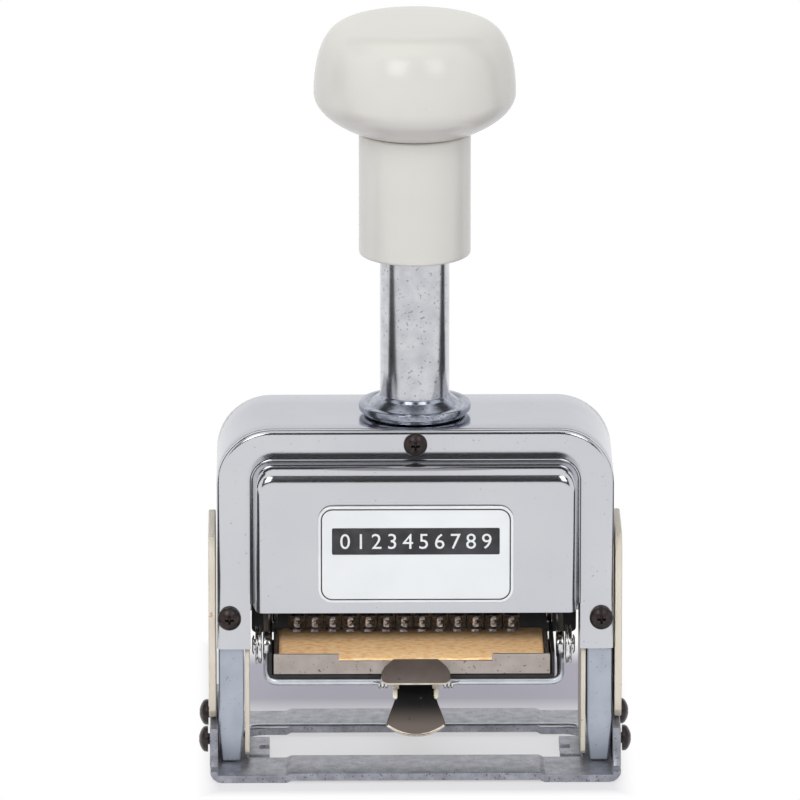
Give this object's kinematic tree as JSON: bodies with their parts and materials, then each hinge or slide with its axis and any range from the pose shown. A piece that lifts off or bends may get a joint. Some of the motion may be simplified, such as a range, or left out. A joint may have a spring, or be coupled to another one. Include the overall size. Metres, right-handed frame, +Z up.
{
  "type": "numbering machine",
  "caption": "Hand numbering machine: a sprung mushroom knob drives a row of number wheels through a base window as the ink pad swings clear.",
  "frame": {"origin": "on the desk, under the middle of the machine and the plunger's axis", "axes": "+Z up along the plunger, -Y towards the user who reads the front, +X to that user's right"},
  "size_m": [0.0916, 0.0518, 0.1604],
  "materials": {
    "chrome": "satin chrome plate with a soft grain",
    "zinc_casting": "blue-grey matte zinc casting",
    "base_metal": "rough speckled grey metal with lighter worn edges",
    "dark_steel": "plain machined steel",
    "wheel_steel": "dark steel with bright worn character faces",
    "ivory_plastic": "glossy warm off-white moulded plastic",
    "ivory_paint": "ivory paint with a few rust specks at the edges",
    "black_screw": "black-brown oxide finish",
    "label_white": "smooth white plate with a dark border",
    "felt": "dense mottled tan felt, dry",
    "tray_metal": "warm grey pitted metal",
    "tab_paint": "dark taupe with cream worn edges"
  },
  "bodies": {
    "frame": {"housing_shell": "chrome", "front_cover": "chrome", "stem_tube": "chrome", "left_leg": "zinc_casting", "right_leg": "zinc_casting", "base_plate": "base_metal", "left_guide_plate": "ivory_paint", "right_guide_plate": "ivory_paint", "left_outer_plate": "ivory_paint", "right_outer_plate": "ivory_paint", "cover_screw_top": "black_screw", "cover_screw_left": "black_screw", "cover_screw_right": "black_screw", "left_front_base_screw": "black_screw", "left_back_base_screw": "black_screw", "right_front_base_screw": "black_screw", "right_back_base_screw": "black_screw", "name_plate": "label_white"},
    "plunger": {"knob_cap": "ivory_plastic", "knob_sleeve": "ivory_plastic", "plunger_rod": "dark_steel", "return_spring": "dark_steel", "carriage_yoke": "dark_steel", "rod_nut": "dark_steel", "carriage_left_plate": "dark_steel", "carriage_right_plate": "dark_steel", "wheel_axle": "dark_steel", "detent_comb": "dark_steel", "left_axle_spacer": "dark_steel", "right_axle_spacer": "dark_steel"},
    "wheel_01": {"number_wheel_01": "wheel_steel"},
    "wheel_02": {"number_wheel_02": "wheel_steel"},
    "wheel_03": {"number_wheel_03": "wheel_steel"},
    "wheel_04": {"number_wheel_04": "wheel_steel"},
    "wheel_05": {"number_wheel_05": "wheel_steel"},
    "wheel_06": {"number_wheel_06": "wheel_steel"},
    "wheel_07": {"number_wheel_07": "wheel_steel"},
    "wheel_08": {"number_wheel_08": "wheel_steel"},
    "wheel_09": {"number_wheel_09": "wheel_steel"},
    "wheel_10": {"number_wheel_10": "wheel_steel"},
    "wheel_11": {"number_wheel_11": "wheel_steel"},
    "wheel_12": {"number_wheel_12": "wheel_steel"},
    "wheel_13": {"number_wheel_13": "wheel_steel"},
    "pawl": {"pawl_arm": "dark_steel"},
    "pad_holder": {"pad_tray": "tray_metal", "ink_pad": "felt", "pad_bracket": "chrome", "upper_finger_tab": "tab_paint", "left_roller_pin": "chrome", "right_roller_pin": "chrome"},
    "left_roller": {"left_pad_roller": "chrome"},
    "right_roller": {"right_pad_roller": "chrome"},
    "release_lever": {"pad_release_lever": "tab_paint"}
  },
  "joints": [
    {"name": "plunger_slide", "type": "slide", "parent": "frame", "child": "plunger", "axis": [0, 0, -1], "range_m": [0, 0.0264], "stiffness_N_per_m": 350, "springref_m": -0.03, "deforming": ["return_spring"]},
    {"name": "wheel_01_turn", "type": "hinge", "parent": "plunger", "child": "wheel_01", "pos_m": [-0.02498, 0.0026, 0.0356], "axis": [1, 0, 0], "continuous": true},
    {"name": "wheel_02_turn", "type": "hinge", "parent": "plunger", "child": "wheel_02", "pos_m": [-0.0212, 0.0026, 0.0356], "axis": [1, 0, 0], "continuous": true},
    {"name": "wheel_03_turn", "type": "hinge", "parent": "plunger", "child": "wheel_03", "pos_m": [-0.01742, 0.0026, 0.0356], "axis": [1, 0, 0], "continuous": true},
    {"name": "wheel_04_turn", "type": "hinge", "parent": "plunger", "child": "wheel_04", "pos_m": [-0.01364, 0.0026, 0.0356], "axis": [1, 0, 0], "continuous": true},
    {"name": "wheel_05_turn", "type": "hinge", "parent": "plunger", "child": "wheel_05", "pos_m": [-0.00986, 0.0026, 0.0356], "axis": [1, 0, 0], "continuous": true},
    {"name": "wheel_06_turn", "type": "hinge", "parent": "plunger", "child": "wheel_06", "pos_m": [-0.00608, 0.0026, 0.0356], "axis": [1, 0, 0], "continuous": true},
    {"name": "wheel_07_turn", "type": "hinge", "parent": "plunger", "child": "wheel_07", "pos_m": [-0.0023, 0.0026, 0.0356], "axis": [1, 0, 0], "continuous": true},
    {"name": "wheel_08_turn", "type": "hinge", "parent": "plunger", "child": "wheel_08", "pos_m": [0.00148, 0.0026, 0.0356], "axis": [1, 0, 0], "continuous": true},
    {"name": "wheel_09_turn", "type": "hinge", "parent": "plunger", "child": "wheel_09", "pos_m": [0.00526, 0.0026, 0.0356], "axis": [1, 0, 0], "continuous": true},
    {"name": "wheel_10_turn", "type": "hinge", "parent": "plunger", "child": "wheel_10", "pos_m": [0.00904, 0.0026, 0.0356], "axis": [1, 0, 0], "continuous": true},
    {"name": "wheel_11_turn", "type": "hinge", "parent": "plunger", "child": "wheel_11", "pos_m": [0.01282, 0.0026, 0.0356], "axis": [1, 0, 0], "continuous": true},
    {"name": "wheel_12_turn", "type": "hinge", "parent": "plunger", "child": "wheel_12", "pos_m": [0.0166, 0.0026, 0.0356], "axis": [1, 0, 0], "continuous": true},
    {"name": "wheel_13_turn", "type": "hinge", "parent": "plunger", "child": "wheel_13", "pos_m": [0.02038, 0.0026, 0.0356], "axis": [1, 0, 0], "continuous": true},
    {"name": "pawl_swing", "type": "hinge", "parent": "plunger", "child": "pawl", "pos_m": [0.0226, 0.0026, 0.0356], "axis": [1, 0, 0], "range_deg": [0, 42]},
    {"name": "pad_swing", "type": "hinge", "parent": "plunger", "child": "pad_holder", "pos_m": [0, 0.0026, 0.0356], "axis": [-1, 0, 0], "range_deg": [0, 86]},
    {"name": "left_roller_turn", "type": "hinge", "parent": "pad_holder", "child": "left_roller", "pos_m": [-0.03305, -0.01006, 0.02714], "axis": [1, 0, 0], "continuous": true},
    {"name": "right_roller_turn", "type": "hinge", "parent": "pad_holder", "child": "right_roller", "pos_m": [0.0324, -0.01006, 0.02714], "axis": [1, 0, 0], "continuous": true},
    {"name": "pad_release_squeeze", "type": "hinge", "parent": "pad_holder", "child": "release_lever", "pos_m": [0, -0.0185, 0.0215], "axis": [-1, 0, 0], "range_deg": [0, 15], "stiffness_Nm_per_rad": 0.02, "springref_deg": -17.19}
  ],
  "couplings": [
    {"joint": "pawl_swing", "follows": "plunger_slide", "rad_per_m": 26},
    {"joint": "pad_swing", "follows": "plunger_slide", "rad_per_m": 56}
  ]
}
